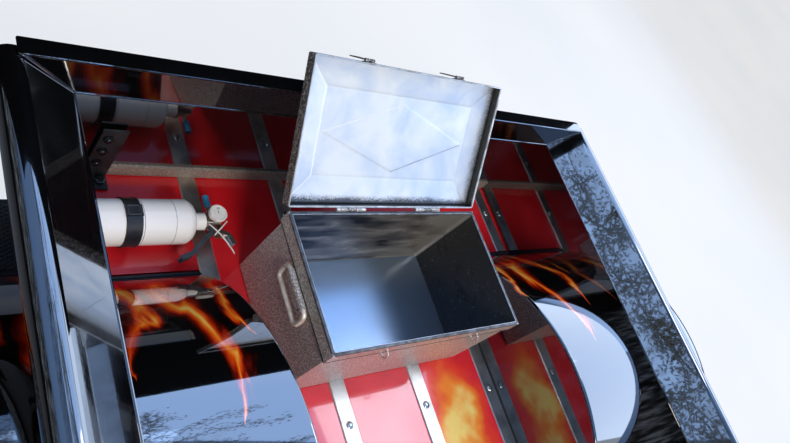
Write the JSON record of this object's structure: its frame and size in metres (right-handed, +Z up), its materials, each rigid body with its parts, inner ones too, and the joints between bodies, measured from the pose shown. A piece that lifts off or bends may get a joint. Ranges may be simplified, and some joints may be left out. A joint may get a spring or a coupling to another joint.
{
  "type": "pickup truck load bed",
  "caption": "Stepside load bed of a custom pickup: plank floor, flared sides, wheel tubs, fenders, tailgate, fitted toolbox with open lid and strapped extinguisher.",
  "frame": {"origin": "middle of the frame bolt pattern, at the underside of the cross sills", "axes": "+X to the truck's right, +Y to its front, +Z up"},
  "size_m": [1.81, 1.6765, 0.7058],
  "materials": {
    "gloss_black": "gloss",
    "red_planks": "gloss lacquer",
    "polished_strips": "polished",
    "textured_black": "textured",
    "hammertone": "hammered",
    "plated_rod": "plated",
    "white_enamel": "gloss",
    "plated_valve": "plated",
    "grey_lever": "satin",
    "black_strap": "satin",
    "step_black": "tread"
  },
  "bodies": {
    "bed": {"front_panel": "gloss_black", "front_header": "gloss_black", "front_foot_bar": "textured_black", "rear_bar": "textured_black", "corner_bracket": "textured_black", "plank_1": "red_planks", "plank_2": "red_planks", "plank_3": "red_planks", "plank_4": "red_planks", "plank_5": "red_planks", "strip_left_edge": "polished_strips", "strip_left_tub": "polished_strips", "strip_left_middle": "polished_strips", "strip_right_middle": "polished_strips", "strip_right_tub": "polished_strips", "strip_right_edge": "polished_strips", "cross_sill_1": "textured_black", "cross_sill_2": "textured_black", "cross_sill_3": "textured_black", "cross_sill_4": "textured_black", "side_panel_left": "gloss_black", "side_panel_right": "gloss_black", "rear_post_left": "gloss_black", "rear_post_right": "gloss_black", "wheel_tub_left": "gloss_black", "wheel_tub_right": "gloss_black", "fender_left": "gloss_black", "fender_right": "gloss_black", "side_step_left": "step_black", "side_step_right": "step_black", "toolbox_body": "hammertone", "extinguisher_cylinder": "white_enamel", "extinguisher_valve": "plated_valve", "extinguisher_levers": "plated_valve", "extinguisher_squeeze_lever": "grey_lever", "extinguisher_strap": "black_strap"},
    "tailgate": {"tailgate": "gloss_black"},
    "toolbox_lid": {"toolbox_lid": "hammertone"},
    "hasp_left": {"toolbox_hasp_left": "hammertone"},
    "hasp_right": {"toolbox_hasp_right": "hammertone"},
    "handle_left": {"toolbox_handle_left": "plated_rod"},
    "handle_right": {"toolbox_handle_right": "plated_rod"}
  },
  "joints": [
    {"name": "tailgate_hinge", "type": "hinge", "parent": "bed", "child": "tailgate", "pos_m": [0, -0.815, 0.057], "axis": [1, 0, 0], "range_deg": [0, 90]},
    {"name": "lid_hinge", "type": "hinge", "parent": "bed", "child": "toolbox_lid", "pos_m": [-0.0065, 0.604, 0.2865], "axis": [1, 0, 0], "range_deg": [0, 132.6]},
    {"name": "hasp_left_hinge", "type": "hinge", "parent": "toolbox_lid", "child": "hasp_left", "pos_m": [-0.1275, 0.80577, 0.48746], "axis": [1, 0, 0], "range_deg": [0, 180]},
    {"name": "hasp_right_hinge", "type": "hinge", "parent": "toolbox_lid", "child": "hasp_right", "pos_m": [0.1145, 0.80577, 0.48746], "axis": [1, 0, 0], "range_deg": [0, 180]},
    {"name": "handle_left_swing", "type": "hinge", "parent": "bed", "child": "handle_left", "pos_m": [-0.259, 0.462, 0.249], "axis": [0, 1, 0], "range_deg": [0, 90]},
    {"name": "handle_right_swing", "type": "hinge", "parent": "bed", "child": "handle_right", "pos_m": [0.246, 0.462, 0.249], "axis": [0, -1, 0], "range_deg": [0, 90]}
  ]
}
